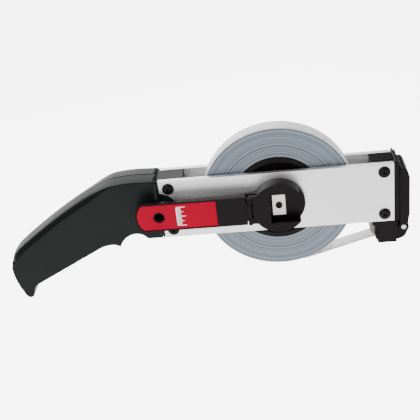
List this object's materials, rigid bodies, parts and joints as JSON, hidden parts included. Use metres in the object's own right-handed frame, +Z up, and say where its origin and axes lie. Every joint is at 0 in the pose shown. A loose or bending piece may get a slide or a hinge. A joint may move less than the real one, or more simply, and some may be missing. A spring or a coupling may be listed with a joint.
{
  "type": "surveyor tape reel",
  "caption": "Open-frame surveyor's tape reel with a pistol handle, folding crank, guide roller and pull loop.",
  "frame": {"origin": "the middle of the hand grip, midway between the two handle halves", "axes": "+X towards the nose, +Z up with the reel held ready to wind, -Y towards the crank"},
  "size_m": [0.3149, 0.0411, 0.1288],
  "materials": {
    "aluminium": "satin, fine lengthwise brushing",
    "handle_plastic": "fine moulded grain, very dark green",
    "black_plastic": "satin moulded",
    "black_steel": "black oxide",
    "bright_steel": "machined",
    "bronze": "sintered bearing bronze",
    "tape_edge": "edges of the wound tape",
    "tape_face": "white lacquer",
    "red_label": "printed label under clear film",
    "roller_nylon": "turned nylon"
  },
  "bodies": {
    "frame": {"near_side_plate": "aluminium", "far_side_plate": "aluminium", "rear_spacer": "handle_plastic", "handle_near_half": "handle_plastic", "handle_far_half": "handle_plastic", "nose_block": "black_plastic", "front_cap": "black_plastic", "mouth_block": "black_plastic", "near_screw_rear_upper": "black_steel", "near_screw_rear_lower": "black_steel", "near_screw_front_upper": "black_steel", "near_screw_front_lower": "black_steel", "far_screw_rear_upper": "black_steel", "far_screw_rear_lower": "black_steel", "far_screw_front_upper": "black_steel", "far_screw_front_lower": "black_steel", "handle_screw_front": "black_steel", "handle_screw_middle": "black_steel", "handle_screw_rear": "black_steel", "roller_pin": "bright_steel", "loop_pin": "bright_steel", "near_axle_bush": "bronze", "far_axle_bush": "bronze", "tape_lead": "tape_face"},
    "reel": {"reel_axle": "bright_steel", "reel_core": "black_plastic", "tape_roll": "tape_edge", "near_thrust_washer": "bright_steel", "far_thrust_washer": "bright_steel", "axle_cap": "black_plastic", "crank_hub": "black_plastic", "drive_block": "bright_steel", "hub_screw": "black_steel", "fold_hinge_pin": "bright_steel"},
    "crank": {"crank_arm": "black_plastic", "arm_label": "red_label", "knob_rivet": "black_steel"},
    "knob": {"finger_knob": "black_plastic"},
    "roller": {"guide_roller": "roller_nylon"},
    "loop": {"pull_loop": "black_plastic"}
  },
  "joints": [
    {"name": "reel_spin", "type": "hinge", "parent": "frame", "child": "reel", "pos_m": [0.16, 0, 0.015], "axis": [0, 1, 0], "continuous": true},
    {"name": "crank_fold", "type": "hinge", "parent": "reel", "child": "crank", "pos_m": [0.138, -0.0241, 0.015], "axis": [0, 0, 1], "range_deg": [0, 180]},
    {"name": "knob_spin", "type": "hinge", "parent": "crank", "child": "knob", "pos_m": [0.0692, -0.0175, 0.015], "axis": [0, 1, 0], "continuous": true},
    {"name": "roller_spin", "type": "hinge", "parent": "frame", "child": "roller", "pos_m": [0.2339, 0, -0.0183], "axis": [0, 1, 0], "continuous": true},
    {"name": "loop_swing", "type": "hinge", "parent": "frame", "child": "loop", "pos_m": [0.2538, 0, -0.0158], "axis": [0, 1, 0], "range_deg": [0, 100]}
  ],
  "couplings": [
    {"joint": "roller_spin", "follows": "reel_spin", "ratio": 10.759}
  ]
}
